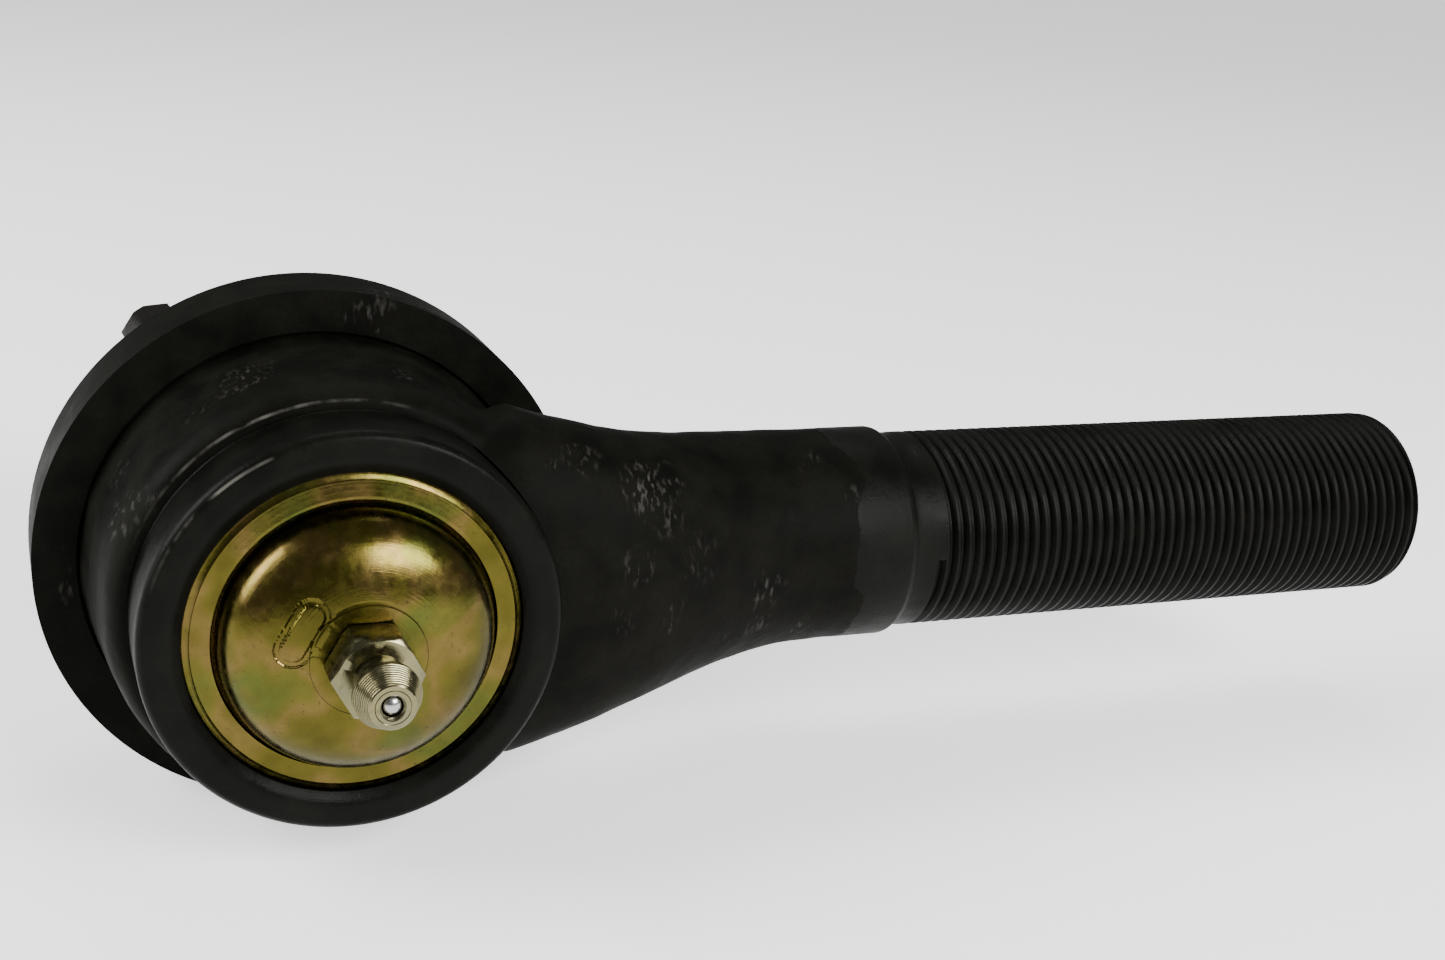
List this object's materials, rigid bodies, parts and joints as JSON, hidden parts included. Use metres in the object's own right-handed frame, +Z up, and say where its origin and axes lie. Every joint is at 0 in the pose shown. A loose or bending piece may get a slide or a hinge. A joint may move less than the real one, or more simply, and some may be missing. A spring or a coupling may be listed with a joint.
{
  "type": "tie rod end",
  "caption": "Steering tie rod end: forged socket on a male threaded shank, ball stud with slotted nut, dust boot, crimped cover with grease fitting.",
  "frame": {"origin": "bottom centre of the whole part's box, on the surface it stands on", "axes": "+X along the shank to its threaded end, +Y along the socket towards the stud and nut (the stud leans 4 degrees from it towards -X), +Z up"},
  "size_m": [0.172, 0.1204, 0.0548],
  "materials": {
    "forged_steel": "forged and phosphated, near-black olive grey, scuffed",
    "yellow_zinc": "yellow zinc plated pressing with faint iridescence",
    "pale_zinc": "pale yellow zinc on turned steel",
    "bright_steel": "ground and polished steel",
    "spring_steel": "oil tempered spring wire",
    "sintered_steel": "sintered and oiled",
    "bearing_plastic": "moulded acetal",
    "seal_rubber": "black nitrile",
    "blue_urethane": "dark blue polyurethane, satin",
    "black_oxide": "brown-black oxide"
  },
  "bodies": {
    "housing": {"housing": "forged_steel", "upper_bearing": "bearing_plastic", "preload_spring": "spring_steel", "cover_plate": "yellow_zinc", "cover_seal": "seal_rubber", "grease_fitting": "pale_zinc", "fitting_spring": "spring_steel", "boot_retaining_ring": "spring_steel"},
    "seat": {"lower_bearing": "sintered_steel", "pressure_plate": "bright_steel"},
    "check_ball": {"fitting_check_ball": "bright_steel"},
    "boot": {"dust_boot": "blue_urethane"},
    "boot_collar": {"boot_bushing": "sintered_steel", "boot_clamp_ring": "spring_steel"},
    "stud": {"ball_stud": "bright_steel", "castle_nut": "black_oxide"},
    "split_pin": {"cotter_pin": "pale_zinc"}
  },
  "joints": [
    {"name": "stud_swing_side", "type": "hinge", "parent": "housing", "child": "boot", "pos_m": [-0.05694, -0.02609, 0.0271], "axis": [0, 0, 1], "range_deg": [-22, 14], "deforming": ["dust_boot"]},
    {"name": "stud_swing_up", "type": "hinge", "parent": "boot", "child": "boot_collar", "pos_m": [-0.05694, -0.02609, 0.0271], "axis": [0.9976, 0.0698, 0], "range_deg": [-18, 18]},
    {"name": "stud_spin", "type": "hinge", "parent": "boot_collar", "child": "stud", "pos_m": [-0.05694, -0.02609, 0.0271], "axis": [-0.0698, 0.9976, 0], "continuous": true},
    {"name": "cotter_pin_pull", "type": "slide", "parent": "stud", "child": "split_pin", "axis": [0.846, 0.0592, 0.5299], "range_m": [0, 0.036]},
    {"name": "wear_take_up", "type": "slide", "parent": "housing", "child": "seat", "axis": [0, -1, 0], "range_m": [0, 0.0005], "stiffness_N_per_m": 1500, "springref_m": -0.002, "deforming": ["preload_spring"]},
    {"name": "check_ball_push", "type": "slide", "parent": "housing", "child": "check_ball", "axis": [0, 1, 0], "range_m": [0, 0.0006], "stiffness_N_per_m": 6, "springref_m": -0.0006, "deforming": ["fitting_spring"]}
  ]
}
